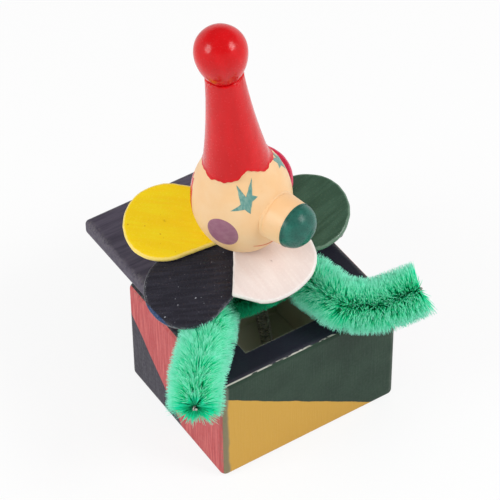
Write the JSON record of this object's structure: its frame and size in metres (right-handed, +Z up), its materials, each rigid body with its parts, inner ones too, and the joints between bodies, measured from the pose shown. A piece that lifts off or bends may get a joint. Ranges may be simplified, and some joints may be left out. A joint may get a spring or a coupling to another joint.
{
  "type": "jack in the box",
  "caption": "Painted wooden jack in the box: a turned clown on a coil spring with a collar of painted discs and chenille arms rises from a box whose loose lid is pushed back.",
  "frame": {"origin": "middle of the box's underside", "axes": "+Z up, the box's front towards -Y, +X to the right seen from the front"},
  "size_m": [0.0659, 0.0754, 0.1192],
  "materials": {
    "box_paint": "brush-painted wood in two colours a face, worn at the edges",
    "box_inside": "thin dark paint on bare wood",
    "lid_paint": "brush-painted wood, worn at the edges",
    "bare_wood": "turned hardwood, unpainted",
    "spring_steel": "drawn spring wire",
    "navy_paint": "thick glossy hand paint on a wood disc",
    "green_paint": "thick glossy hand paint on a wood disc",
    "yellow_paint": "thick glossy hand paint on a wood disc",
    "white_paint": "thick satin hand paint on a wood disc",
    "crimson_paint": "thick glossy hand paint on a wood disc",
    "face_paint": "satin paint on turned wood",
    "red_paint": "glossy paint on turned wood",
    "chenille": "soft synthetic pile",
    "stem_wire": "two wires twisted together"
  },
  "bodies": {
    "box": {"front_wall": "box_paint", "back_wall": "box_paint", "left_wall": "box_paint", "right_wall": "box_paint", "box_floor": "box_inside", "spring_seat": "bare_wood", "spring": "spring_steel"},
    "lid": {"lid": "lid_paint"},
    "neck": {"neck_plug": "bare_wood"},
    "figure": {"neck_dowel": "bare_wood", "collar_hub": "bare_wood", "petal_navy": "navy_paint", "petal_green": "green_paint", "petal_yellow": "yellow_paint", "petal_white": "white_paint", "petal_crimson": "crimson_paint", "head": "face_paint", "nose": "face_paint", "hat": "red_paint", "hat_ball": "red_paint", "arm_left": "chenille", "arm_right": "chenille", "arm_wrap": "chenille", "arm_wire": "stem_wire"}
  },
  "joints": [
    {"name": "lid_slide", "type": "slide", "parent": "box", "child": "lid", "axis": [0, 1, 0], "range_m": [0, 0.012]},
    {"name": "figure_bob", "type": "slide", "parent": "box", "child": "neck", "axis": [0, 0, 1], "range_m": [0, 0.012], "stiffness_N_per_m": 60, "springref_m": 0.005, "deforming": ["spring"]},
    {"name": "figure_rock", "type": "hinge", "parent": "neck", "child": "figure", "pos_m": [-0.00165, 0.0016, 0.04], "axis": [-1, 0, 0], "range_deg": [0, 10], "stiffness_Nm_per_rad": 0.05}
  ]
}
